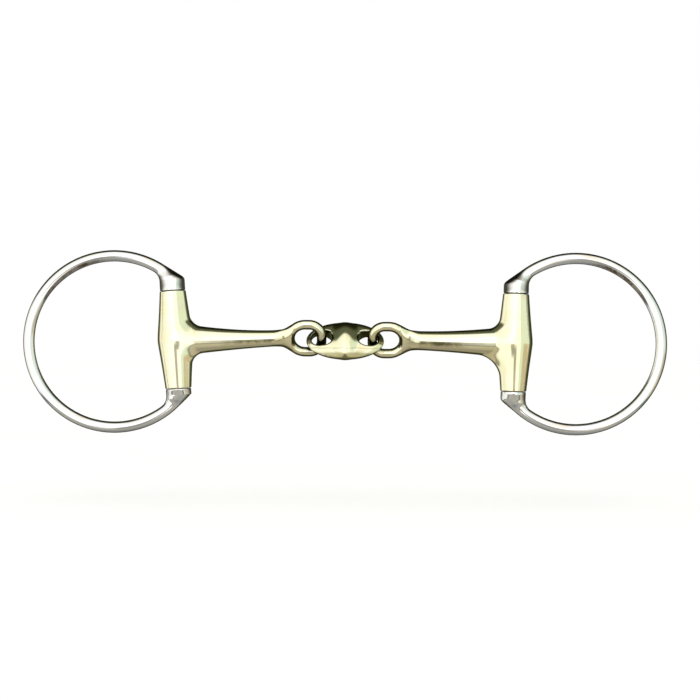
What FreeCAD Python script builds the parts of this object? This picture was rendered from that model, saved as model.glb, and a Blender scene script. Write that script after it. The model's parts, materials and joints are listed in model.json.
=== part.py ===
import FreeCAD, Part

# Eggbutt snaffle bit with a double-jointed mouthpiece.
#
# Frame, in millimetres: X runs along the mouthpiece, Z is up along the cheek barrels and -Y is the front.
# The origin is the middle of the oval link at the centre of the mouthpiece.
#
# Pieces: the oval link with two eye holes; two mouth arms, each a barrel, a tapered cannon and an end eye
# that is threaded through the link; two cheek rings whose shoulders close over the ends of a barrel; and the
# hinge pin that runs through each barrel from shoulder to shoulder.

import math
import os
import re

import Sketcher

SIZES = [
    # the whole bit
    ("mouth_width", 127, "between the barrels' end faces, inside to inside: a 5 inch mouthpiece"),
    ("left_lean", 3.9, "degrees that the left barrel's top leans outwards"),
    ("right_lean", 1.2, "the same on the right, where the casting is squarer"),
    ("left_pivot", 9.5, "middle of the bit to the nose of the left arm's eye, where it turns in the link"),
    ("right_pivot", 11.0, "the same on the right"),
    # barrels and hinge pins
    ("barrel_length", 39.4, "end face to end face"),
    ("end_radius", 5.1, "barrel at its end faces, and the ring's shoulders that match it"),
    ("swell_radius", 7.2, "barrel at its middle, where the cannon joins"),
    ("waist_radius", 5.8, "barrel where the swell runs out"),
    ("waist_height", 10.5, "height of that point above the barrel's middle"),
    ("edge_break", 0.25, "chamfer on the barrel's end edges and on the pin's"),
    ("pin_radius", 2.5, "hinge pin"),
    ("pin_play", 0.06, "radial running clearance between pin and barrel"),
    ("pin_air", 0.2, "air between a pin's end and the bottom of its seat"),
    ("seam_gap", 0.15, "axial clearance between a barrel's end and a shoulder"),
    ("seat_depth", 4.0, "depth of the pin's blind seat in a shoulder"),
    # cheek rings
    ("ring_offset", 24.7, "barrel axis to the ring's centre"),
    ("ring_radius", 34.65, "centre of the rod"),
    ("rod_radius", 2.3, "rod that the ring is bent from"),
    ("left_rise", 0.7, "left ring's centre above the barrel's middle"),
    ("right_rise", 0.1, "right ring's centre above the barrel's middle"),
    ("shoulder_bend", 5, "radius of the bend inside each shoulder"),
    ("left_upper_slope", 55, "degrees from +X to the normal of the flat outside the left upper shoulder"),
    ("left_lower_slope", 49, "the same for the left lower shoulder"),
    ("right_upper_slope", 53.5, "the same for the right upper shoulder"),
    ("right_lower_slope", 52, "the same for the right lower shoulder"),
    # cannons
    ("root_radius", 5.9, "cannon, where it leaves the barrel"),
    ("root_start", 7, "barrel axis to that point"),
    ("left_tip_radius", 3.3, "thin end of the left cannon"),
    ("right_tip_radius", 3.85, "thin end of the right cannon"),
    ("taper_power", 1.8, "how fast the cannon thins near its root"),
    ("root_overlap", 1, "how far short of the barrel's axis the cannon's root ends, inside the barrel"),
    ("root_flare", 1.5, "extra height of the cannon where it leaves the barrel, in place of a fillet"),
    ("flare_power", 10, "how fast that flare dies away along the cannon"),
    # end eyes
    ("eye_roll", 27, "degrees that the eyes are rolled about X from the barrels, top forwards"),
    ("eye_rod_radius", 1.95, "rod that the eye is bent from"),
    ("eye_half_height", 6.1, "centre of that rod, across the eye"),
    ("eye_reach", 12.8, "centre of that rod, nose to neck"),
    ("eye_corner", 5.0, "bend radius beside the eye's straight nose"),
    ("left_lift", 1.1, "left eye's middle above the barrel's, along its nose: the cannon is slightly bent"),
    ("right_lift", 0.55, "the same on the right"),
    ("neck_spread", 0.8, "height of the cannon's end inside the eye's neck, as a part of the eye's"),
    ("neck_thinning", 0.97, "thickness of that end, as a part of the eye rod's"),
    ("neck_overlap", 0.2, "how far that end stops short of the middle of the neck's rod"),
    # oval link
    ("link_half_length", 15.7, "along X"),
    ("link_half_width", 9.75, "across the eye holes"),
    ("link_half_thickness", 3.1, "along the eye holes, without the swelling in the middle"),
    ("hub_half_length", 4.6, "swelling between the eye holes, along X"),
    ("hub_half_width", 8.3, "across the eye holes"),
    ("hub_half_thickness", 5.2, "along the eye holes"),
    ("link_roll", 42, "degrees that the link is rolled about X, top backwards"),
    ("hole_outer", 13.55, "middle of the link to the outer end of an eye hole"),
    ("hole_length", 8.4, "end to end"),
    ("hole_half_width", 3.6, "also the radius of the hole's round ends"),
    ("hole_round", 1, "rounding of the eye holes' edges"),
]

# Sizes that follow from the sheet, as expressions in its aliases.
BARREL_X = "(mouth_width / 2 + end_radius)"
SEAM_Z = "(barrel_length / 2 + seam_gap)"
PIN_HALF = f"({SEAM_Z} + seat_depth - pin_air)"
RING_OUTER = "(ring_radius + rod_radius)"
BEND_X = "(end_radius + shoulder_bend)"
BEND_REACH = "(ring_radius - rod_radius - shoulder_bend)"
BEND_Z = f"sqrt({BEND_REACH}^2 - (ring_offset - {BEND_X})^2)"
BEND_TURN = f"(atan2({BEND_Z}; ring_offset - {BEND_X}) / 1 deg)"

V = FreeCAD.Vector
Z_AXIS = V(0, 0, 1)

doc = FreeCAD.newDocument("snaffle_bit")
sheet = doc.addObject("Spreadsheet::Sheet", "Sizes")
for row, (alias, value, note) in enumerate(SIZES, start=1):
    sheet.set(f"A{row}", alias)
    sheet.set(f"B{row}", str(value))
    sheet.set(f"C{row}", note)
    sheet.setAlias(f"B{row}", alias)
doc.recompute()

ALIASES = re.compile(r"\b(" + "|".join(alias for alias, _, _ in SIZES) + r")\b")


def bind(obj, **expressions):
    """Bind properties of obj to expressions written in the sheet's aliases."""
    for name, expression in expressions.items():
        obj.setExpression(name, ALIASES.sub(r"Sizes.\1", expression))
    return obj


def place(obj, x="0", y="0", z="0", yaw="0", pitch="0", roll="0"):
    """Bind a Placement: a point, and a turn as yaw about Z, then pitch about Y, then roll about X."""
    return bind(obj, Placement=f"placement(vector({x}; {y}; {z}); rotation({yaw}; {pitch}; {roll}))")


def add(kind, name, **properties):
    """Add an object of a kind to the document and set its plain properties."""
    obj = doc.addObject(kind, name)
    for key, value in properties.items():
        setattr(obj, key, value)
    return obj


def cylinder(name, radius, half_length):
    """A cylinder about Z, centred on the origin."""
    obj = bind(add("Part::Cylinder", name), Radius=radius, Height=f"2 * {half_length}")
    return place(obj, z=f"-{half_length}")


def size(alias):
    """A driving dimension's value, where a shape has to start near its final size."""
    return float(sheet.get(alias))


# ---- cheek rings: built about their barrel's axis, with +X outboard

def shoulder(side, end):
    """The bend from a barrel's end up into the ring. Its outside runs flat from the barrel's edge until it
    meets the ring's outer circle, so the rod swells towards the barrel. Built as the upper one."""
    sections = [shoulder_section(f"{side}_{end}_shoulder_0", "end_radius", "0")]
    steps = 6
    for step in range(1, steps + 1):
        turn = f"({BEND_TURN} * {step / steps})"
        radius = f"(({shoulder_outside(f'{side}_{end}_slope', turn)}) / 2 - shoulder_bend / 2)"
        sections.append(shoulder_section(f"{side}_{end}_shoulder_{step}", radius, turn))
    return add("Part::Loft", f"{side}_{end}_shoulder", Sections=sections, Solid=True)


def shoulder_outside(slope, turn):
    """Distance from the inner bend's centre to the shoulder's outside: to the flat, then to the circle."""
    spread = f"(ring_offset - {BEND_X})"
    flat = f"({RING_OUTER} - {spread} * cos({slope}) - {BEND_Z} * sin({slope})) / cos({slope} - {turn})"
    met = f"atan2({RING_OUTER} * sin({slope}) - {BEND_Z}; {RING_OUTER} * cos({slope}) - {spread}) / 1 deg"
    inward = f"{BEND_REACH} * cos({BEND_TURN} - {turn})"
    circle = f"sqrt(({inward})^2 + {RING_OUTER}^2 - {BEND_REACH}^2) - {inward}"
    return f"{turn} < {met} ? {flat} : {circle}"


def shoulder_section(name, radius, turn):
    """A round section of the shoulder, on a plane that fans out from the centre of the inner bend."""
    section = bind(add("Part::Circle", name), Radius=radius)
    arm = f"(shoulder_bend + {radius})"
    x, z = f"{BEND_X} - {arm} * cos({turn})", f"{BEND_Z} + {arm} * sin({turn})"
    return place(section, x=x, z=z, pitch=turn)


def on_barrel(obj, side, slide="0"):
    """Stand an object on a barrel's axis, with its own +X outboard, slid some way along that axis."""
    lean = f"{side}_lean"
    sign, yaw = ("-1", "180") if side == "left" else ("1", "0")
    x = f"{sign} * ({BARREL_X} + {slide} * sin({lean}))"
    return place(obj, x=x, z=f"{slide} * cos({lean})", yaw=yaw, pitch=lean)


def cheek_ring(side):
    """The ring with its two shoulders, the gap for the barrel and the blind seats for the hinge pin."""
    rod = bind(add("Part::Torus", f"{side}_rod"), Radius1="ring_radius", Radius2="rod_radius",
               Angle3=f"360 - 2 * {BEND_TURN}")
    place(rod, x="ring_offset", pitch=f"180 - {BEND_TURN}", roll="90")
    upper = shoulder(side, "upper")
    lower = add("Part::Mirroring", f"{side}_turned_shoulder", Source=shoulder(side, "lower"), Normal=Z_AXIS)
    stubs = cylinder(f"{side}_stubs", "end_radius", BEND_Z)
    bent = add("Part::MultiFuse", f"{side}_bent_rod", Shapes=[rod, upper, lower, stubs])
    place(bent, z=f"{side}_rise")
    gap = cylinder(f"{side}_barrel_gap", "2 * end_radius", SEAM_Z)
    seats = cylinder(f"{side}_pin_seats", "pin_radius", f"({SEAM_Z} + seat_depth)")
    room = add("Part::MultiFuse", f"{side}_room", Shapes=[gap, seats])
    ring = add("Part::Cut", f"{side}_ring", Base=bent, Tool=room)
    return on_barrel(ring, side)


def hinge_pin(side):
    """The round pin through the barrel, with a small chamfer at each end."""
    body = add("PartDesign::Body", f"{side}_hinge_pin")
    sketch = body.newObject("Sketcher::SketchObject", f"{side}_pin_circle")
    floor = next(f for f in body.Origin.OriginFeatures if f.Role == "XY_Plane")
    sketch.AttachmentSupport = [(floor, "")]
    sketch.MapMode = "FlatFace"
    radius = size("pin_radius")
    sketch.addGeometry(Part.Circle(V(), Z_AXIS, radius), False)
    sketch.addConstraint(Sketcher.Constraint("Coincident", 0, 3, -1, 1))
    drive(sketch, Sketcher.Constraint("Radius", 0, radius), "radius", "pin_radius")
    pad = body.newObject("PartDesign::Pad", f"{side}_pin_pad")
    pad.Profile = sketch
    pad.SideType = "Symmetric"
    bind(pad, Length=f"2 * {PIN_HALF}")
    doc.recompute()
    rims = [f"Edge{i}" for i, edge in enumerate(pad.Shape.Edges, start=1) if edge.isClosed()]
    chamfer = body.newObject("PartDesign::Chamfer", f"{side}_pin_chamfer")
    chamfer.Base = (pad, rims)
    bind(chamfer, Size="edge_break")
    body.Tip = chamfer
    return on_barrel(body, side)


# ---- mouth arms: built with +X outboard, so the left one's parts are turned round

def barrel(side):
    """The double-cone barrel, as a stack of cones about Z."""
    half = "(barrel_length / 2)"
    profile = [("0", "swell_radius"), ("waist_height", "waist_radius"),
               (f"({half} - edge_break)", "end_radius"), (half, "(end_radius - edge_break)")]
    cones = []
    for step, ((low_z, low_r), (high_z, high_r)) in enumerate(zip(profile, profile[1:])):
        height = f"{high_z} - {low_z}"
        up = add("Part::Cone", f"{side}_upper_cone_{step}")
        bind(up, Radius1=low_r, Radius2=high_r, Height=height)
        down = add("Part::Cone", f"{side}_lower_cone_{step}")
        bind(down, Radius1=high_r, Radius2=low_r, Height=height)
        cones += [place(up, z=low_z), place(down, z=f"-{high_z}")]
    stack = add("Part::MultiFuse", f"{side}_barrel", Shapes=cones)
    return on_barrel(stack, side)


def cannon(side, sign):
    """The tapered bar from the barrel to the neck of the eye, flared at its root, bent slightly up to the eye
    and flattened where it meets the eye's rod."""
    neck = f"({side}_pivot + eye_reach)"
    tip = f"({neck} + 2 * eye_rod_radius)"
    root = f"({BARREL_X} - root_start)"
    radius = f"{side}_tip_radius"
    lift = f"{side}_lift"
    inside = f"{BARREL_X} - root_overlap"
    sections = [bar_section(f"{side}_bar_root", sign, inside, "0", "root_radius + root_flare", "root_radius")]
    steps = 6
    for step in range(steps + 1):
        along = step / steps
        width = f"{radius} + (root_radius - {radius}) * {1 - along}^taper_power"
        height = f"{width} + root_flare * {1 - along}^flare_power"
        at = f"{root} + ({tip} - {root}) * {along}"
        sections.append(bar_section(f"{side}_bar_{step}", sign, at, f"{lift} * {along ** 2}", height, width))
    end_height = "neck_spread * eye_half_height"
    end_depth = "neck_thinning * eye_rod_radius"
    at = f"{neck} + neck_overlap"
    sections.append(bar_section(f"{side}_bar_neck", sign, at, lift, end_height, end_depth))
    return add("Part::Loft", f"{side}_cannon", Sections=sections, Solid=True)


def bar_section(name, sign, at, lift, height, depth):
    """An oval section across the cannon, taller along the eye than through it, and lifted along the eye."""
    section = bind(add("Part::Ellipse", name), MajorRadius=height, MinorRadius=depth)
    return place(section, x=f"{sign} * ({at})", y=f"-({lift}) * sin(eye_roll)", z=f"({lift}) * cos(eye_roll)",
                 yaw="-90", pitch="eye_roll - 90", roll="90")


def eye_path(side):
    """The centre line of the eye's rod: a straight nose at X = 0, two corners, two sides and a round neck."""
    corner = size("eye_corner")
    half = size("eye_half_height")
    nose = half - corner
    side_end = size("eye_reach") - half
    quarter = math.pi / 2
    path = add("Sketcher::SketchObject", f"{side}_eye_path")
    path.addGeometry([
        Part.LineSegment(V(0, -nose), V(0, nose)),
        Part.ArcOfCircle(Part.Circle(V(corner, nose), Z_AXIS, corner), quarter, 2 * quarter),
        Part.LineSegment(V(corner, half), V(side_end, half)),
        Part.ArcOfCircle(Part.Circle(V(side_end, 0), Z_AXIS, half), -quarter, quarter),
        Part.LineSegment(V(corner, -half), V(side_end, -half)),
        Part.ArcOfCircle(Part.Circle(V(corner, -nose), Z_AXIS, corner), 2 * quarter, 3 * quarter),
    ], False)
    for joint in [(0, 2, 1, 2), (1, 1, 2, 1), (2, 2, 3, 2), (3, 1, 4, 2), (4, 1, 5, 2), (5, 1, 0, 1)]:
        path.addConstraint(Sketcher.Constraint("Tangent", *joint))
    path.addConstraint(Sketcher.Constraint("Symmetric", 0, 1, 0, 2, -1))
    path.addConstraint(Sketcher.Constraint("PointOnObject", 0, 1, -2))
    path.addConstraint(Sketcher.Constraint("PointOnObject", 3, 3, -1))
    drive(path, Sketcher.Constraint("Radius", 1, corner), "corner", "eye_corner")
    drive(path, Sketcher.Constraint("Radius", 3, half), "half_height", "eye_half_height")
    sides = Sketcher.Constraint("DistanceX", -1, 1, 3, 3, side_end)
    drive(path, sides, "side_end", "eye_reach - eye_half_height")
    return path


def drive(sketch, constraint, name, expression):
    """Add a dimension to a sketch and bind it to an expression in the sheet's aliases."""
    index = sketch.addConstraint(constraint)
    sketch.renameConstraint(index, name)
    return bind(sketch, **{f"Constraints.{name}": expression})


def eye(side, sign):
    """The loop of rod at the arm's end, rolled with its top forwards."""
    path = eye_path(side)
    lift = f"{side}_lift"
    turned = {"yaw": "180", "roll": "90 - eye_roll"} if side == "left" else {"roll": "90 + eye_roll"}
    x = f"{sign} * {side}_pivot"
    place(path, x=x, y=f"-{lift} * sin(eye_roll)", z=f"{lift} * cos(eye_roll)", **turned)
    section = bind(add("Part::Circle", f"{side}_eye_section"), Radius="eye_rod_radius")
    start = f"({lift} - eye_half_height + eye_corner)"
    place(section, x=x, y=f"-{start} * sin(eye_roll)", z=f"{start} * cos(eye_roll)", roll="eye_roll")
    doc.recompute()
    edges = [f"Edge{i + 1}" for i in range(len(path.Shape.Edges))]
    return add("Part::Sweep", f"{side}_eye", Sections=[section], Spine=(path, edges), Solid=True)


def mouth_arm(side, sign):
    """Barrel, cannon and eye as one casting, bored through for the hinge pin."""
    shapes = [barrel(side), cannon(side, sign), eye(side, sign)]
    cast = add("Part::MultiFuse", f"{side}_casting", Shapes=shapes)
    bore = cylinder(f"{side}_bore", "(pin_radius + pin_play)", "barrel_length")
    on_barrel(bore, side, slide="-barrel_length")
    return add("Part::Cut", f"{side}_mouth_arm", Base=cast, Tool=bore)


# ---- the oval link: built with its eye holes along Y, then rolled

def eye_hole():
    """A slot through the right half of the link, with round ends."""
    radius = size("hole_half_width")
    straight = size("hole_length") / 2 - radius
    quarter = math.pi / 2
    slot = add("Sketcher::SketchObject", "slot")
    slot.addGeometry([
        Part.LineSegment(V(-straight, radius), V(straight, radius)),
        Part.ArcOfCircle(Part.Circle(V(straight, 0), Z_AXIS, radius), -quarter, quarter),
        Part.LineSegment(V(-straight, -radius), V(straight, -radius)),
        Part.ArcOfCircle(Part.Circle(V(-straight, 0), Z_AXIS, radius), quarter, 3 * quarter),
    ], False)
    for joint in [(0, 2, 1, 2), (1, 1, 2, 2), (2, 1, 3, 2), (3, 1, 0, 1)]:
        slot.addConstraint(Sketcher.Constraint("Tangent", *joint))
    slot.addConstraint(Sketcher.Constraint("Symmetric", 1, 3, 3, 3, -1, 1))
    slot.addConstraint(Sketcher.Constraint("PointOnObject", 1, 3, -1))
    drive(slot, Sketcher.Constraint("Radius", 1, radius), "radius", "hole_half_width")
    drive(slot, Sketcher.Constraint("DistanceX", -1, 1, 1, 3, straight), "straight",
          "hole_length / 2 - hole_half_width")
    hole = add("Part::Extrusion", "eye_hole", Base=slot, DirMode="Normal", Solid=True, Symmetric=True)
    bind(hole, LengthFwd="4 * link_half_thickness")
    return place(hole, x="hole_outer - hole_length / 2", roll="90")


def ellipsoid(name, length, thickness, width):
    """An ellipsoid from its half sizes along X, Y and Z, with its poles on X."""
    oval = bind(add("Part::Ellipsoid", name), Radius1=length, Radius2=width, Radius3=thickness)
    return place(oval, pitch="90")


def centre_link():
    """The oval link: a flat oval with two rounded eye holes, and a swelling between: one half, mirrored."""
    oval = ellipsoid("link_oval", "link_half_length", "link_half_thickness", "link_half_width")
    pierced = add("Part::Cut", "link_pierced", Base=oval, Tool=eye_hole())
    doc.recompute()
    rims = [i for i, edge in enumerate(pierced.Shape.Edges, start=1) if is_hole_rim(edge)]
    rounded = add("Part::Fillet", "link_rounded", Base=pierced)
    radius = size("hole_round")
    rounded.Edges = [(i, radius, radius) for i in rims]
    hub = ellipsoid("link_hub", "hub_half_length", "hub_half_thickness", "hub_half_width")
    swollen = add("Part::MultiFuse", "link_swollen", Shapes=[rounded, hub])
    room = "(2 * link_half_length)"
    right_side = bind(add("Part::Box", "right_side"), Length=room, Width=room, Height=room)
    place(right_side, y="-link_half_length", z="-link_half_length")
    half = add("Part::MultiCommon", "link_half", Shapes=[swollen, right_side])
    other = add("Part::Mirroring", "link_other_half", Source=half, Normal=V(1, 0, 0))
    link = add("Part::MultiFuse", "centre_link", Shapes=[half, other])
    return place(link, roll="-link_roll")


def is_hole_rim(edge):
    """Whether an edge of the pierced link runs round the mouth of a hole, rather than down its wall."""
    if edge.Degenerated:
        return False
    middle = edge.valueAt((edge.FirstParameter + edge.LastParameter) / 2)
    in_hole = abs(middle.z) <= size("hole_half_width") + size("edge_break")
    return in_hole and abs(middle.y) > size("hole_round")


pieces = [centre_link()]
for side, sign in (("left", -1), ("right", 1)):
    pieces += [mouth_arm(side, sign), cheek_ring(side), hinge_pin(side)]
doc.recompute()

for obj in doc.Objects:
    if "Invalid" in obj.State or "Error" in obj.State:
        raise RuntimeError(f"{obj.Name} failed: {obj.State}")

os.makedirs("parts", exist_ok=True)
for piece in pieces:
    solids = piece.Shape.Solids
    if piece.Shape.isNull() or not piece.Shape.isValid() or len(solids) != 1:
        raise RuntimeError(f"{piece.Label} isn't one valid solid")
    piece.Shape.exportStep(f"parts/{piece.Label}.step")
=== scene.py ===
import json
import math

import bpy
import numpy as np
from mathutils import Matrix, Vector


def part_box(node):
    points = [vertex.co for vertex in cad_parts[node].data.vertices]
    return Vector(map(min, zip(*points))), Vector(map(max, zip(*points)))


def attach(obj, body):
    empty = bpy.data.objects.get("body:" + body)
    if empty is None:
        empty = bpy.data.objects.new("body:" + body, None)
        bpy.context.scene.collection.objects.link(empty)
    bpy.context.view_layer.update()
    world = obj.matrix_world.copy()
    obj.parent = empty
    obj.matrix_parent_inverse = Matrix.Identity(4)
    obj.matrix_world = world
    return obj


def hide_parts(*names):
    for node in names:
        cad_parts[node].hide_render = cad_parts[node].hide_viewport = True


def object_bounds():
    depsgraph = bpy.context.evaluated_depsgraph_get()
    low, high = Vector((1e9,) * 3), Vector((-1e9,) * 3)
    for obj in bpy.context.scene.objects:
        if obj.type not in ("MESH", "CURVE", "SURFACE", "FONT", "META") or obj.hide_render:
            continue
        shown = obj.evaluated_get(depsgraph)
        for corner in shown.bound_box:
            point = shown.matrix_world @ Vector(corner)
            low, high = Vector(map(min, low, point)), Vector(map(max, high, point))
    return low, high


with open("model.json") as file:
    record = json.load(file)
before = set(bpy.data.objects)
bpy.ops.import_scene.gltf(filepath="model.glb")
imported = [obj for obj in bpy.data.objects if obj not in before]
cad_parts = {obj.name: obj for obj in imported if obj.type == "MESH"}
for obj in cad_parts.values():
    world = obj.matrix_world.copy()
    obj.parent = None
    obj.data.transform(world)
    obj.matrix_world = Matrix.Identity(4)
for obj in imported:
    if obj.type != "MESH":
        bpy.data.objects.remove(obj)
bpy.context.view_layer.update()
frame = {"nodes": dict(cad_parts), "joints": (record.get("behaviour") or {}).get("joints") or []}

MM = 0.001                  # the frame is in metres; shapes below are in millimetres
TINY = 1e-6                 # keeps divisions finite
JOINTS = {joint["name"]: joint for joint in frame["joints"]}


# ---------------------------------------------------------------- sizes, some worked out from the frame, the rest given

def box_mm(node):
    """Lowest and highest corner of a CAD node, in millimetres."""
    low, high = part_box(node)
    return np.array(low) / MM, np.array(high) / MM


BARREL_X = abs(JOINTS["left_ring_swing"]["pos_m"][0]) / MM       # bit's middle to a barrel's axis
BARREL_HALF = 19.7                          # half the barrel's length
END_RADIUS = box_mm("left_ring")[1][1]      # of the barrel's ends and the shoulders over them
SWELL_RADIUS = box_mm("left_mouth_arm")[1][1]               # of the barrel's middle
MIDDLE_TAPER, END_TAPER = 0.134, 0.076      # how fast the barrel thins near its middle and its ends
APEX_ROUND, TAPER_BLEND = 1.4, 0.3          # how softly its cones meet at the middle, and its tapers
BARREL_EDGE = 0.3                           # rounding of its end edges
PIN_RADIUS = box_mm("left_hinge_pin")[1][1]
BORE_RADIUS = PIN_RADIUS + 0.06
SEAT_DEPTH = 4.0                            # of the pin's blind seats in the shoulders
SEAM_GAP, SEAM_EDGE = 0.15, 0.25            # between barrel and shoulder, and its rounded edges

RING_OFFSET = 24.7          # barrel axis to the ring's centre
RING_RADIUS = 34.65         # centre of the rod
ROD_RADIUS = 2.3
SHOULDER_BEND = 5.0         # inner bend of the shoulders
CORNER_BLEND = 0.45         # how softly the shoulder's outer corner is rounded
FACET_START = 21.0          # height at which a shoulder starts to thin from front to back
UPPER_FACET, LOWER_FACET = 0.27, 0.42       # slopes of the facets it starts with
FACET_LENGTH, NECK_SLOPE = 4.0, 0.30        # then it thins this much faster, down to the rod
FACET_BEND = 9.3                            # radius along which those lengths run round the bend
LEAST_COS = 0.2                             # bounds a flat's distance where it runs away from the bend

ROOT_RADIUS, ROOT_START = 5.9, 7.0          # of a cannon, and how far from the barrel's axis it begins
CANNON_POWER = 1.8                          # how early it thins towards its tip
FLAT_START, FLAT_GROWTH = 3.0, 0.25         # it flattens from this far before its tip, and grows this taller
TOP_FILLET, SIDE_FILLET, BACK_FILLET = 3.8, 2.6, 0.5        # between cannon and barrel
FILLET_TURN, BACK_TURN = 2.0, 3.0           # half the stretch over which those change, up and outboard
SIDE_FROM, SIDE_TO = 0.2, 1.0               # share of the depth at which the side fillet begins and is whole
EYE_AXIS = np.array(JOINTS["left_arm_fold"]["axis"])        # along the nose of both eyes
EYE_ROLL = math.atan2(-EYE_AXIS[1], EYE_AXIS[2])
EYE_ROD, EYE_FILLET = 1.95, 2.2             # radius of an eye's rod, and its fillet to the cannon
EYE_HALF, EYE_REACH, EYE_CORNER = 6.1, 12.8, 5.0            # half height, nose to neck, corner radius

LINK_SIZE = (15.7, 3.1, 9.75)               # half length, half thickness, half width
HUB_SIZE, HUB_BLEND = (4.9, 5.2, 8.3), 2.0
LINK_ROLL = math.radians(42)
HOLE_INNER, HOLE_LEFT, HOLE_RIGHT = 5.15, 13.55, 13.25      # where the holes start, and end on either side
HOLE_RADIUS, HOLE_ROUND = 3.6, 1.1

# rise: ring above the barrel's middle; tip: cannon's radius at its eye; lift: eye above the barrel's middle;
# under: fillet below the cannon; slopes: of the upper and lower shoulder's flat, in degrees
SIDES = {
    "left": {"sign": -1, "rise": 0.7, "tip": 3.3, "lift": 1.1, "under": 4.0, "slopes": (55, 49)},
    "right": {"sign": 1, "rise": 0.1, "tip": 3.85, "lift": 0.55, "under": 8.0, "slopes": (53.5, 52)},
}
for side_name, side in SIDES.items():
    side["pivot"] = abs(JOINTS[f"{side_name}_arm_fold"]["pos_m"][0]) / MM
    swing = np.array(JOINTS[f"{side_name}_ring_swing"]["axis"])
    swing *= np.sign(swing[2])
    side["lean"] = math.atan2(side["sign"] * swing[0], swing[2])


# ---------------------------------------------------------------- distance fields

def round_union(a, b, radius):
    """Two distance fields joined with a circular fillet."""
    reach = np.hypot(np.maximum(radius - a, 0), np.maximum(radius - b, 0))
    return np.maximum(radius, np.minimum(a, b)) - reach


def round_cut(a, b, radius):
    """Field a less field b, with its edges rounded."""
    return -round_union(-a, b, radius)


def round_both(a, b, radius):
    """What fields a and b share, with its edges rounded."""
    return -round_union(-a, -b, radius)


def soft_max(a, b, blend):
    """The larger of a and b, with a soft change from one to the other."""
    return np.logaddexp(a / blend, b / blend) * blend


def between(a, b, share):
    return a + (b - a) * share


def smooth_step(low, high, x):
    """0 up to low, 1 from high on, and an even S between them; low may be the larger."""
    t = np.clip((x - low) / (high - low), 0, 1)
    return t * t * (3 - 2 * t)


def barrel_frame(side, x, y, z):
    """Coordinates about a barrel: outboard, through the ring's plane, and up the barrel's axis."""
    sign, lean = side["sign"], side["lean"]
    out = sign * x - BARREL_X
    return (out * math.cos(lean) - z * math.sin(lean),
            sign * y,
            out * math.sin(lean) + z * math.cos(lean))


def ring_field(side):
    """A cheek ring: a round rod bent to a ring, whose ends swell into the two shoulders over the barrel."""
    outer_radius = RING_RADIUS + ROD_RADIUS
    bend_reach = RING_RADIUS - ROD_RADIUS - SHOULDER_BEND
    bend_x = END_RADIUS + SHOULDER_BEND
    spread = RING_OFFSET - bend_x
    bend_z = math.sqrt(bend_reach ** 2 - spread ** 2)
    bend_turn = math.atan2(bend_z, spread)
    seam = BARREL_HALF + SEAM_GAP
    upper, lower = (math.radians(slope) for slope in side["slopes"])

    def outside(turn, slope):
        """From the inner bend's centre to the shoulder's flat, or to the ring's outer circle beyond it."""
        flat = outer_radius - spread * np.cos(slope) - bend_z * np.sin(slope)
        met = np.arctan2(outer_radius * np.sin(slope) - bend_z, outer_radius * np.cos(slope) - spread)
        inward = bend_reach * np.cos(bend_turn - turn)
        circle = np.sqrt(inward ** 2 + outer_radius ** 2 - bend_reach ** 2) - inward
        return np.where(turn < met, flat / np.maximum(np.cos(slope - turn), LEAST_COS), circle)

    def field(x, y, z):
        u, v, w = barrel_frame(side, x, y, z)
        up = w - side["rise"]
        high = np.abs(up)
        ring = np.hypot(np.hypot(u - RING_OFFSET, up) - RING_RADIUS, v) - ROD_RADIUS
        turn = np.arctan2(high - bend_z, bend_x - u)
        reach = np.hypot(u - bend_x, high - bend_z)
        outer = outside(turn, np.where(up > 0, upper, lower))
        stub = (bend_x + END_RADIUS) / np.maximum(np.cos(turn), LEAST_COS)
        outer = -soft_max(-outer, -stub, CORNER_BLEND)
        radius = (outer - SHOULDER_BEND) / 2
        gone = np.where(turn < 0, high - FACET_START, bend_z - FACET_START + FACET_BEND * turn)
        facet = np.where(up > 0, UPPER_FACET, LOWER_FACET)
        depth = END_RADIUS - facet * np.maximum(gone, 0) - NECK_SLOPE * np.maximum(gone - FACET_LENGTH, 0)
        depth = soft_max(depth, ROD_RADIUS, CORNER_BLEND)
        depth = between(ROD_RADIUS, depth, smooth_step(bend_turn, bend_turn / 2, turn))
        bend = oval(reach - SHOULDER_BEND - radius, v, radius, depth)
        column = oval(u, v, END_RADIUS, depth)
        on_ring = (turn > bend_turn) | (u > bend_x)
        shape = np.where(on_ring, ring, np.where(turn < 0, column, bend))
        gap = np.maximum(np.abs(w) - seam, u - bend_x)
        shape = round_cut(shape, gap, SEAM_EDGE)
        seat = np.maximum(np.hypot(u, v) - PIN_RADIUS, np.abs(w) - seam - SEAT_DEPTH)
        return np.maximum(shape, -seat)

    return field


def oval(a, b, half_a, half_b):
    """Distance, close to the edge, from an oval with these half sizes."""
    scaled = np.hypot(a / half_a, b / half_b)
    steep = np.hypot(a / half_a ** 2, b / half_b ** 2)
    return scaled * (scaled - 1) / np.maximum(steep, TINY)


def barrel_shape(u, v, w):
    """The double-cone barrel about its own axis."""
    height = np.sqrt(w * w + APEX_ROUND ** 2) - APEX_ROUND
    swell = SWELL_RADIUS - height * MIDDLE_TAPER
    neck = END_RADIUS + (BARREL_HALF - height) * END_TAPER
    return np.hypot(u, v) - soft_max(swell, neck, TAPER_BLEND)


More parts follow.
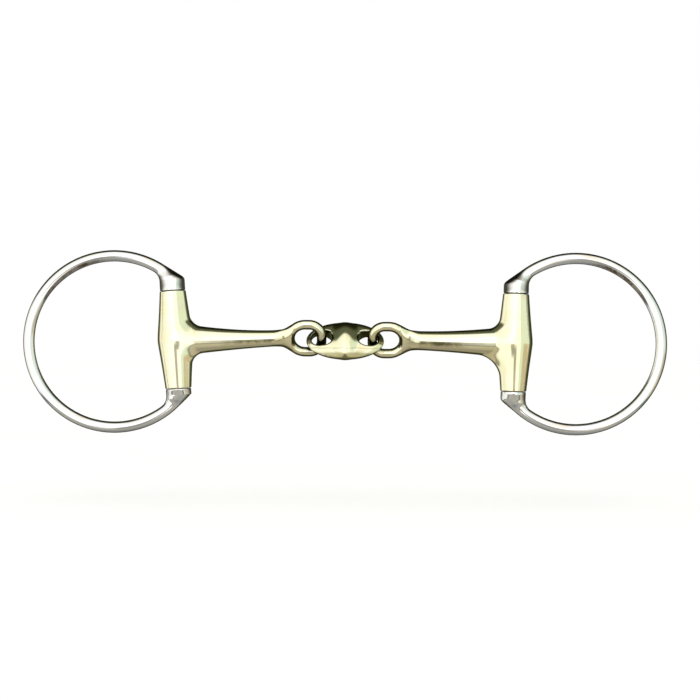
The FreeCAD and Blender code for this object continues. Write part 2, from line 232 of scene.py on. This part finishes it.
def arm_field(side):
    """A mouth arm: barrel, cannon and end eye, blended as one casting and bored for the hinge pin."""
    sin_roll, cos_roll = math.sin(EYE_ROLL), math.cos(EYE_ROLL)
    neck = side["pivot"] + EYE_REACH
    tip = neck + 2 * EYE_ROD
    root = BARREL_X - ROOT_START

    def field(x, y, z):
        out = side["sign"] * x
        high = -y * sin_roll + z * cos_roll
        deep = y * cos_roll + z * sin_roll
        u, v, w = barrel_frame(side, x, y, z)
        along = np.clip((root - out) / (root - tip), 0, 1)
        lifted = high - side["lift"] * along ** 2
        flat = smooth_step(tip + FLAT_START, neck, out)
        radius = between(side["tip"], ROOT_RADIUS, (1 - along) ** CANNON_POWER)
        tall = radius * (1 + FLAT_GROWTH * flat)
        thick = between(radius, EYE_ROD, flat)
        bar = oval(lifted, deep, tall, thick)
        bar = np.maximum(bar, np.maximum(neck - out, out - BARREL_X))
        fillet = between(TOP_FILLET, side["under"], smooth_step(FILLET_TURN, -FILLET_TURN, z))
        beside = np.abs(y) / np.maximum(np.hypot(y, z), TINY)
        fillet = between(SIDE_FILLET, fillet, smooth_step(SIDE_TO, SIDE_FROM, beside))
        fillet = between(BACK_FILLET, fillet, smooth_step(BACK_TURN, -BACK_TURN, u))
        shape = round_union(barrel_shape(u, v, w), bar, fillet)
        shape = round_union(shape, eye_rod(out - side["pivot"], high - side["lift"], deep), EYE_FILLET)
        shape = round_both(shape, np.abs(w) - BARREL_HALF, BARREL_EDGE)
        return np.maximum(shape, BORE_RADIUS - np.hypot(u, v))

    return field


def eye_rod(u, high, deep):
    """The closed loop of rod at an arm's end: a short straight nose at u = 0 and a half-round neck."""
    to_corner = EYE_CORNER - u
    beyond = np.abs(high) - (EYE_HALF - EYE_CORNER)
    nose = np.hypot(np.maximum(to_corner, 0), np.maximum(beyond, 0)) - EYE_CORNER
    nose += np.minimum(np.maximum(to_corner, beyond), 0)
    side_end = EYE_REACH - EYE_HALF
    neck = np.hypot(u - side_end, high) - EYE_HALF
    return np.hypot(np.where(u > side_end, neck, nose), deep) - EYE_ROD


def ellipsoid(a, b, c, size):
    """Distance, close to the surface, from an ellipsoid with these half sizes."""
    a, b, c = a / size[0], b / size[1], c / size[2]
    scaled = np.sqrt(a * a + b * b + c * c)
    steep = np.sqrt((a / size[0]) ** 2 + (b / size[1]) ** 2 + (c / size[2]) ** 2)
    return scaled * (scaled - 1) / np.maximum(steep, TINY)


def link_field(x, y, z):
    """The oval link: a flat oval swollen in the middle, with a rounded eye hole near each end."""
    through = y * math.cos(LINK_ROLL) - z * math.sin(LINK_ROLL)
    wide = y * math.sin(LINK_ROLL) + z * math.cos(LINK_ROLL)
    plate = ellipsoid(x, through, wide, LINK_SIZE)
    hub = ellipsoid(x, through, wide, HUB_SIZE)
    out = np.abs(x)
    outer = np.where(x < 0, HOLE_LEFT, HOLE_RIGHT) - HOLE_RADIUS
    along = np.maximum(HOLE_INNER + HOLE_RADIUS - out, 0) + np.maximum(out - outer, 0)
    hole = np.hypot(along, wide) - HOLE_RADIUS
    return round_cut(round_union(plate, hub, HUB_BLEND), hole, HOLE_ROUND)


# ---------------------------------------------------------------- meshing a field

MARGIN = 3                  # cells sampled beyond a piece's box
PULLS = 4                   # rounds of drawing the points onto the surface
PULL_STEP, NORMAL_STEP = 0.01, 0.05         # mm over which slopes are measured, for those and for the normals
LEAST_SLOPE = 0.05          # squared; bounds the pull where a field is nearly level


def crossings(grid, axis):
    """Grid edges along an axis whose ends lie on different sides of the surface, and where it cuts them."""
    low = np.take(grid, range(grid.shape[axis] - 1), axis)
    high = np.take(grid, range(1, grid.shape[axis]), axis)
    cut = (low < 0) != (high < 0)
    index = np.argwhere(cut)
    share = low[cut] / (low[cut] - high[cut])
    return index, share, low[cut] < 0


def surface_net(grid):
    """Vertices, in grid steps, and quads of the zero surface of a sampled field."""
    shape = np.array(grid.shape)
    cells, points, loops = [], [], []
    for axis in range(3):
        index, share, solid_first = crossings(grid, axis)
        point = index.astype(float)
        point[:, axis] += share
        first, second = (axis + 1) % 3, (axis + 2) % 3
        ring = []
        for step_a, step_b in ((0, 0), (-1, 0), (-1, -1), (0, -1)):
            cell = index.copy()
            cell[:, first] += step_a
            cell[:, second] += step_b
            flat = np.ravel_multi_index(cell.T, shape)
            ring.append(flat)
            cells.append(flat)
            points.append(point)
        ring = np.stack(ring, 1)
        loops.append(np.where(solid_first[:, None], ring, ring[:, ::-1]))
    cells, points = np.concatenate(cells), np.concatenate(points)
    used, where = np.unique(cells, return_inverse=True)
    count = np.bincount(where)
    vertices = np.stack([np.bincount(where, points[:, i]) / count for i in range(3)], 1)
    return vertices, np.searchsorted(used, np.concatenate(loops))


def gradient(field, points, step):
    """The field's slope at each point."""
    slope = np.empty_like(points)
    for axis in range(3):
        shift = np.zeros(3)
        shift[axis] = step
        slope[:, axis] = (field(*(points + shift).T) - field(*(points - shift).T)) / (2 * step)
    return slope


def mesh_from_field(name, field, low, high, cell):
    """A smooth-shaded quad mesh of a field's zero surface, its points drawn onto the true surface."""
    low, high = np.asarray(low) - MARGIN * cell, np.asarray(high) + MARGIN * cell
    axes = [np.arange(low[i], high[i], cell) for i in range(3)]
    steps, quads = surface_net(field(*np.meshgrid(*axes, indexing="ij")))
    points = low + steps * cell
    for _ in range(PULLS):
        slope = gradient(field, points, PULL_STEP)
        pull = field(*points.T) / np.maximum((slope ** 2).sum(1), LEAST_SLOPE)
        points -= slope * np.clip(pull, -cell, cell)[:, None]
    normals = gradient(field, points, NORMAL_STEP)
    normals /= np.maximum(np.linalg.norm(normals, axis=1), TINY)[:, None]
    mesh = bpy.data.meshes.new(name)
    mesh.vertices.add(len(points))
    mesh.vertices.foreach_set("co", (points * MM).astype(np.float32).ravel())
    mesh.loops.add(quads.size)
    mesh.loops.foreach_set("vertex_index", quads.astype(np.int32).ravel())
    mesh.polygons.add(len(quads))
    mesh.polygons.foreach_set("loop_start", np.arange(0, quads.size, 4, dtype=np.int32))
    mesh.update(calc_edges=True)
    mesh.shade_smooth()
    mesh.normals_split_custom_set_from_vertices(normals.astype(np.float32))
    obj = bpy.data.objects.new(name, mesh)
    bpy.context.scene.collection.objects.link(obj)
    return obj


# ---------------------------------------------------------------- materials

WHITE = (1, 1, 1, 1)
TABLE_REFLECTION_TONE = (0.33, 0.31, 0.165, 1)          # painted reflection of the table on the link's lower part
SHADE_REACH = 0.008                         # metres within which a recess gets painted shade
SCRATCH_STRETCH = 0.2                       # scratches run this much longer along the bit
EDGE_ROUGHNESS = 0.3


class Nodes:
    """Short calls for building one material's or the world's node tree."""

    def __init__(self, tree):
        self.tree = tree
        self.tree.nodes.clear()

    def add(self, kind, inputs=None, **settings):
        node = self.tree.nodes.new(kind)
        for key, value in settings.items():
            setattr(node, key, value)
        for key, value in (inputs or {}).items():
            self.feed(node.inputs[key], value)
        return node

    def feed(self, socket, value):
        if isinstance(value, bpy.types.NodeSocket):
            self.tree.links.new(value, socket)
        else:
            socket.default_value = value

    def maths(self, operation, a, b=0.0):
        return self.add("ShaderNodeMath", {0: a, 1: b}, operation=operation).outputs[0]

    def product(self, first, *others):
        for other in others:
            first = self.maths("MULTIPLY", first, other)
        return first

    def line(self, value, times, plus):
        """The value times one number or field, plus another."""
        return self.add("ShaderNodeMath", {0: value, 1: times, 2: plus}, operation="MULTIPLY_ADD").outputs[0]

    def split(self, vector):
        return self.add("ShaderNodeSeparateXYZ", {0: vector}).outputs

    def mix(self, share, a, b, blend="MIX"):
        node = self.add("ShaderNodeMix", data_type="RGBA", blend_type=blend)
        self.feed(node.inputs[0], share)
        self.feed(node.inputs[6], a)
        self.feed(node.inputs[7], b)
        return node.outputs[2]

    def ramp(self, value, *stops):
        """A colour ramp through (place, grey or colour) stops."""
        node = self.add("ShaderNodeValToRGB", {0: value})
        band = node.color_ramp
        while len(band.elements) < len(stops):
            band.elements.new(0.5)
        for element, (place, colour) in zip(band.elements, stops):
            element.position = place
            element.color = colour if isinstance(colour, tuple) else (colour, colour, colour, 1)
        return node.outputs[0]

    def noise(self, where, scale, detail=3.0, roughness=0.5):
        node = self.add("ShaderNodeTexNoise", {"Vector": where, "Scale": scale, "Detail": detail,
                                               "Roughness": roughness})
        return node.outputs[0]

    def either(self, share, a, b):
        """One shader, passing into another as the share goes from 0 to 1."""
        return self.add("ShaderNodeMixShader", {0: share, 1: a, 2: b}).outputs[0]


def new_nodes(block):
    """The emptied node tree of a new material or world."""
    block.use_nodes = True
    return Nodes(block.node_tree)


def drifting_colour(n, where, face, drift_a, drift_b):
    """The face's colour with faint patches of two others."""
    colour = n.mix(n.ramp(n.noise(where, 95.0, 4.0), (0.42, 0.0), (0.68, 1.0)), face, drift_a)
    return n.mix(n.ramp(n.noise(where, 160.0, 3.0), (0.55, 0.0), (0.72, 0.8)), colour, drift_b)


def table_reflection_band(n, where, z):
    """1 on the lower part of the link, with an uneven upper border and a thin line above it: a painted
    reflection of the table and its edge.
    """
    uneven = n.line(n.noise(where, 130.0, 2.0), 0.10, n.line(z, 50.0, 0.5))
    return n.ramp(uneven, (0.22, 1.0), (0.29, 0.9), (0.33, 0.25), (0.38, 0.0), (0.40, 0.5), (0.42, 0.0))


def marked_colour(n, colour, marks, where, out, z, upward):
    """The colour with each mark, a painted reflection, mixed in where the metal leans, lies and stands as the
    mark says.
    """
    lean, level = n.line(upward, 0.5, 0.5), n.line(z, 10.0, 0.5)
    for tint, share, mottle, leans, reaches, levels in marks:
        mottled = n.ramp(n.noise(where, 330.0, 4.0), (0.36, share * (1.0 - mottle)), (0.58, share))
        spot = n.product(n.ramp(lean, *leans), n.ramp(out, *reaches), n.ramp(level, *levels), mottled)
        colour = n.mix(spot, colour, tint)
    return colour


def relief(n, where, wave):
    """A bumped normal: fine scratches along the bit, and soft polishing waves of the given scale."""
    brushed = n.add("ShaderNodeMapping", {"Vector": where, "Scale": (SCRATCH_STRETCH, 1.0, 1.0)}).outputs[0]
    scratches = n.maths("MULTIPLY", n.noise(brushed, 2600.0, 2.0, 0.7), 0.006)
    waves = n.maths("MULTIPLY", n.noise(where, wave, 1.0, 0.3), 0.6)
    height = n.maths("ADD", scratches, waves)
    return n.add("ShaderNodeBump", {"Strength": 0.45, "Distance": 0.0006, "Height": height}).outputs[0]


def turned_away(n, sideways, upward, out, z, amid, shade, shoulders, table_reflection_share):
    """How far the metal turns from the eye, 0 face-on to 1 edge-on, plus what brings its painted dark
    reflection forward."""
    glance = n.add("ShaderNodeLayerWeight", {"Blend": 0.5}).outputs["Facing"]
    small = n.ramp(out, (0.020, amid), (0.032, amid * 0.35), (0.055, amid * 0.3), (0.062, 0.0))
    # painted shade: faces turned up and to the right, towards the room's darker side, darken sooner
    shaded = n.ramp(n.line(n.maths("ADD", sideways, upward), 0.35, 0.5), (0.25, 0.0), (0.85, shade))
    high = n.ramp(n.maths("MULTIPLY", z, 20.0), (0.36, 0.0), (0.42, shoulders), (0.58, shoulders),
                  (0.64, 0.0))
    beside = n.ramp(out, (0.055, 0.0), (0.058, 1.0), (0.070, 1.0), (0.078, 0.0))
    nearer = n.maths("MAXIMUM", n.maths("MAXIMUM", small, shaded), n.product(high, beside))
    # painted shade: faces turned down darken sooner, as much as the share given for the table's painted
    # reflection
    rim_below = n.ramp(n.maths("MULTIPLY", upward, -1.0), (0.36, 0.0), (0.55, table_reflection_share * 0.4))
    return n.maths("ADD", n.maths("ADD", glance, nearer), rim_below)


def polished_metal(name, colours, edge, roughness, wave, amid=0.0, shade=0.0, shoulders=0.0, table_reflection_share=0.0,
                   marks=()):
    """Hand-polished metal: a bright face with faint colour drift, fine scratches, soft polishing waves,
    worn edges, painted shade in the recesses, and a painted dark reflection where it turns away.

    The linear colours are the face's, two it drifts to, the first tone of the painted dark reflection on its
    turned-away edge, the last, and that of the painted shade in the recesses. The edge holds where that
    painted darkening starts, is complete and is darkest, from 0 face-on to 1 edge-on. It is brought forward
    on the small parts amid the bit, towards the room's darker upper right and on the upper shoulders by the
    amounts given;
    table_reflection_share is the share of a painted reflection of the table low down, with a painted darker
    rim below. Each mark is a colour, its share, how far that is mottled, and the stops between which it
    shows: in the way the face leans (0 down, 1 up), in metres from the bit's middle, and in the height (0.5
    level, 0.1 per 10 mm)."""
    face, drift_a, drift_b, turning, rim, recess_shade = colours
    start, complete, darkest = edge
    material = bpy.data.materials.new(name)
    n = new_nodes(material)
    where = n.add("ShaderNodeTexCoord").outputs["Object"]
    geometry = n.add("ShaderNodeNewGeometry").outputs
    x, _, z = n.split(where)
    out = n.maths("ABSOLUTE", x)
    sideways, _, upward = n.split(geometry["Normal"])
    colour = drifting_colour(n, where, face, drift_a, drift_b)
    # painted reflection of the table: the link's lower part darkens by height
    colour = n.mix(n.maths("MULTIPLY", table_reflection_band(n, where, z), table_reflection_share), colour, TABLE_REFLECTION_TONE)
    colour = marked_colour(n, colour, marks, where, out, z, upward)
    colour = n.mix(n.ramp(geometry["Pointiness"], (0.51, 0.0), (0.6, 0.3)), colour, WHITE)
    # painted shade: ambient occlusion darkens the colour in recesses towards the last of the colours
    open_sky = n.add("ShaderNodeAmbientOcclusion", {"Distance": SHADE_REACH}, samples=8).outputs["AO"]
    colour = n.mix(n.ramp(open_sky, (0.45, 0.97), (0.90, 0.0)), colour, recess_shade)
    rough = n.line(n.noise(where, 260.0, 5.0), roughness, roughness * 0.5)
    bump = relief(n, where, wave)
    metal = n.add("ShaderNodeBsdfPrincipled", {"Base Color": colour, "Metallic": 1.0, "Roughness": rough,
                                               "Normal": bump}).outputs[0]
    glance = turned_away(n, sideways, upward, out, z, amid, shade, shoulders, table_reflection_share)
    # painted dark reflection: where the metal turns from the eye, it gives way to a dark glossy tone
    tone = n.mix(n.ramp(glance, (complete, 0.0), (darkest, 1.0)), turning, rim)
    turned = n.add("ShaderNodeBsdfGlossy", {"Color": tone, "Roughness": EDGE_ROUGHNESS}).outputs[0]
    shader = n.either(n.ramp(glance, (start, 0.0), (complete, 1.0)), metal, turned)
    n.add("ShaderNodeOutputMaterial", {"Surface": shader})
    return material


def floor_material():
    """Pale matt studio floor, with the faintest unevenness."""
    material = bpy.data.materials.new("studio_floor")
    n = new_nodes(material)
    where = n.add("ShaderNodeTexCoord").outputs["Object"]
    tone = n.ramp(n.noise(where, 3.0), (0.0, 0.86), (1.0, 0.9))
    shader = n.add("ShaderNodeBsdfPrincipled", {"Base Color": tone, "Roughness": 0.9})
    n.add("ShaderNodeOutputMaterial", {"Surface": shader.outputs[0]})
    return material


# ---------------------------------------------------------------- the studio

FLAT_LIGHT, STUDIO_LIGHT = 1.25, 1.28       # strengths for matt surfaces and for polished metal
MINT_WALL = (0.56, 0.66, 0.54, 1)
POST = (0.46, 0.36, 0.22, 1)
WALL_PATCH = (0.62, 0.60, 0.50, 1)
TABLE_EDGE = (0.12, 0.105, 0.06, 1)
DARK_STRIP = (0.075, 0.08, 0.045, 1)
CAMERA_STAND = (0.14, 0.13, 0.08, 1)


def front_wall(n, right, front):
    """The bright wall behind the camera, with folds of warmer drapes across it."""
    glow = n.ramp(front, (0.35, (0.84, 0.83, 0.78, 1)), (0.80, (1.0, 1.0, 0.97, 1)),
                  (1.0, (1.3, 1.3, 1.3, 1)))
    drapes = n.ramp(n.line(right, 0.5, 0.5),
                    (0.0, (0.96, 0.94, 0.88, 1)), (0.22, (1, 1, 0.98, 1)), (0.33, (0.95, 0.91, 0.80, 1)),
                    (0.42, WHITE), (0.55, WHITE), (0.61, (0.90, 0.80, 0.64, 1)),
                    (0.68, (0.98, 0.97, 0.92, 1)))
    return n.mix(1.0, glow, drapes, "MULTIPLY")


def studio_room(n, direction):
    """The room's colour in each direction, from the front wall to the things that stand before it."""
    right, back, up = n.split(direction)
    down, front = n.maths("MULTIPLY", up, -1.0), n.maths("MULTIPLY", back, -1.0)
    room = front_wall(n, right, front)
    room = n.mix(n.ramp(right, (0.48, 0.0), (0.62, 0.9), (1.0, 0.6)), room, MINT_WALL)
    post = n.product(n.ramp(right, (0.78, 0.0), (0.84, 1.0)), n.ramp(down, (0.03, 0.0), (0.10, 0.9)))
    room = n.mix(post, room, POST)
    room = n.mix(n.ramp(n.noise(direction, 3.0, 2.0), (0.50, 0.0), (0.66, 0.35)), room, WALL_PATCH)
    cloth = n.ramp(down, (0.6, (0.46, 0.405, 0.28, 1)), (0.9, (0.36, 0.32, 0.24, 1)),
                   (1.0, (0.23, 0.21, 0.17, 1)))
    room = n.mix(n.ramp(down, (0.62, 0.0), (0.67, 1.0)), room, cloth)
    room = n.mix(n.ramp(down, (0.50, 0.0), (0.54, 0.85), (0.61, 0.85), (0.67, 0.0)), room, TABLE_EDGE)
    overhead = n.ramp(up, (0.34, 0.0), (0.5, 1.0))
    behind = n.ramp(n.maths("ADD", back, 0.5), (0.28, 0.0), (0.40, 1.0))
    room = n.mix(n.product(overhead, behind), room, DARK_STRIP)
    low = n.ramp(down, (0.06, 0.0), (0.12, 1.0), (0.56, 1.0), (0.64, 0.0))
    middle = n.ramp(n.maths("ABSOLUTE", right), (0.09, 1.0), (0.24, 0.0))
    stand = n.product(low, middle, n.maths("LESS_THAN", back, 0.0), 0.85)
    return n.mix(stand, room, CAMERA_STAND)


def studio_world():
    """Soft white studio. Polished metal sees a bright room in front, a dark strip overhead and behind, a warm
    grey table below and the small dark shape of the camera stand; everything else sees plain white."""
    world = bpy.data.worlds.new("studio")
    bpy.context.scene.world = world
    n = new_nodes(world)
    room = studio_room(n, n.add("ShaderNodeTexCoord").outputs["Generated"])
    plain, studio, flat = (
        n.add("ShaderNodeBackground", {"Color": colour, "Strength": strength}).outputs[0]
        for colour, strength in ((WHITE, 1.0), (room, STUDIO_LIGHT), (WHITE, FLAT_LIGHT)))
    path = n.add("ShaderNodeLightPath").outputs
    lit = n.either(path["Is Diffuse Ray"], studio, flat)
    n.add("ShaderNodeOutputWorld", {"Surface": n.either(path["Is Camera Ray"], lit, plain)})


# ---------------------------------------------------------------- the pieces

CELL = 0.35          # of the meshes, in mm
LINK_SHARE = 0.8                            # the link's cells are this much smaller
BOX_MARGIN = 0.5

# Marks, as polished_metal describes them; all three are painted reflections, tinted by the way the face leans
ANYWHERE = ((0.0, 1.0), (1.0, 1.0))
DARK_UNDERSIDE_REFLECTION = ((0.17, 0.15, 0.075, 1), 0.9, 0.75,               # painted dark reflection, mottled, on the cannons' lower front, by their eyes
           ((0.20, 0.0), (0.28, 1.0), (0.43, 1.0), (0.50, 0.0)),
           ((0.024, 0.0), (0.029, 0.7), (0.040, 1.0), (0.050, 0.0)), ANYWHERE)
COOL_BELOW = ((0.69, 0.79, 1.0, 1), 0.85, 0.0,              # greys the warm table in the steel's undersides
              ((0.29, 1.0), (0.37, 0.0)), ANYWHERE, ANYWHERE)
BROWN_REFLECTION_ARC = ((0.11, 0.07, 0.025, 1), 0.93, 0.4,             # painted brown reflection inside the rings' outer upper quarters
             ((0.29, 1.0), (0.36, 0.0)), ((0.094, 0.0), (0.101, 1.0)),
             ((0.61, 0.0), (0.67, 1.0), (0.805, 1.0), (0.83, 0.0)))

# In each list the fourth and fifth colours are the first and last tone of the painted dark reflection on
# turned-away edges, the sixth the painted shade in recesses
STEEL_COLOURS = [(0.91, 0.92, 0.96, 1), (0.83, 0.85, 0.91, 1), (0.93, 0.91, 0.89, 1),
                 (0.32, 0.31, 0.31, 1), (0.06, 0.065, 0.05, 1), (0.16, 0.16, 0.13, 1)]
STEEL_EDGE = (0.37, 0.52, 0.66)
STEEL = polished_metal("polished_stainless_steel", STEEL_COLOURS, STEEL_EDGE, roughness=0.08, wave=90.0,
                       shade=0.15, shoulders=0.32, marks=(COOL_BELOW, BROWN_REFLECTION_ARC))
ALLOY_COLOURS = [(0.98, 0.975, 0.78, 1), (0.94, 0.92, 0.64, 1), (0.96, 0.88, 0.70, 1),
                 (0.17, 0.165, 0.075, 1), (0.05, 0.055, 0.022, 1), (0.04, 0.038, 0.018, 1)]
ALLOY_EDGE = (0.47, 0.58, 0.72)
ALLOY = polished_metal("pale_copper_alloy", ALLOY_COLOURS, ALLOY_EDGE, roughness=0.15, wave=70.0,
                       amid=0.28, shade=0.12, marks=(DARK_UNDERSIDE_REFLECTION,))
LINK_ALLOY = polished_metal("pale_copper_alloy_link", ALLOY_COLOURS, ALLOY_EDGE, roughness=0.15, wave=70.0,
                            amid=0.06, table_reflection_share=1.0)


def add_piece(name, node, body, field, cell, material):
    """Mesh a field over its CAD node's box, and let it stand for that node."""
    low, high = box_mm(node)
    piece = mesh_from_field(name, field, low - BOX_MARGIN, high + BOX_MARGIN, cell)
    piece.data.materials.append(material)
    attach(piece, body)
    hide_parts(node)


def finish_cad_node(node, material):
    """Keep a CAD node and give it its finish."""
    obj = frame["nodes"][node]
    obj.data.materials.clear()
    obj.data.materials.append(material)


add_piece("oval_link", "centre_link", "link", link_field, CELL * LINK_SHARE, LINK_ALLOY)
for side_name, side in SIDES.items():
    add_piece(f"{side_name}_arm_casting", f"{side_name}_mouth_arm", f"{side_name}_arm", arm_field(side), CELL,
              ALLOY)
    add_piece(f"{side_name}_cheek_ring", f"{side_name}_ring", f"{side_name}_cheek", ring_field(side), CELL,
              STEEL)
    finish_cad_node(f"{side_name}_hinge_pin", STEEL)


# ---------------------------------------------------------------- stage, light and camera

FLOOR_DROP, FLOOR_REACH = 0.1, 40           # shares of the bit's length: below it, and out to each side
LENS, SENSOR = 100, 36
VIEW_WIDTH = 283.2                          # what the picture holds across, at the bit
VIEW_MIDDLE = (2.0, 0.0, -3.6)
VIEW_ROLL = math.radians(0.5)


def add_floor():
    """A large pale floor under everything that the joints can swing down to."""
    low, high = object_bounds()
    length = high[0] - low[0]
    level, reach = low[2] - FLOOR_DROP * length, FLOOR_REACH * length
    mesh = bpy.data.meshes.new("floor")
    corners = [(-reach, -reach, level), (reach, -reach, level), (reach, reach, level), (-reach, reach, level)]
    mesh.from_pydata(corners, [], [(0, 1, 2, 3)])
    mesh.materials.append(floor_material())
    floor = bpy.data.objects.new("floor", mesh)
    floor.visible_glossy = False
    bpy.context.scene.collection.objects.link(floor)


def add_camera():
    """A long lens square on to the bit, a little off its middle and turned half a degree, like a catalogue
    shot."""
    camera = bpy.data.cameras.new("camera")
    camera.lens, camera.sensor_width = LENS, SENSOR
    distance = VIEW_WIDTH * MM * LENS / SENSOR
    camera.clip_start, camera.clip_end = 0.01, 100
    obj = bpy.data.objects.new("camera", camera)
    bpy.context.scene.collection.objects.link(obj)
    stand = Vector(VIEW_MIDDLE) * MM + Vector((0, -distance, 0))
    look = Matrix.Rotation(math.radians(90), 4, "X")
    roll = Matrix.Rotation(VIEW_ROLL, 4, "Z")
    obj.matrix_world = Matrix.Translation(stand) @ look @ roll
    bpy.context.scene.camera = obj


studio_world()
add_floor()
add_camera()
bpy.context.scene.view_settings.view_transform = "Standard"
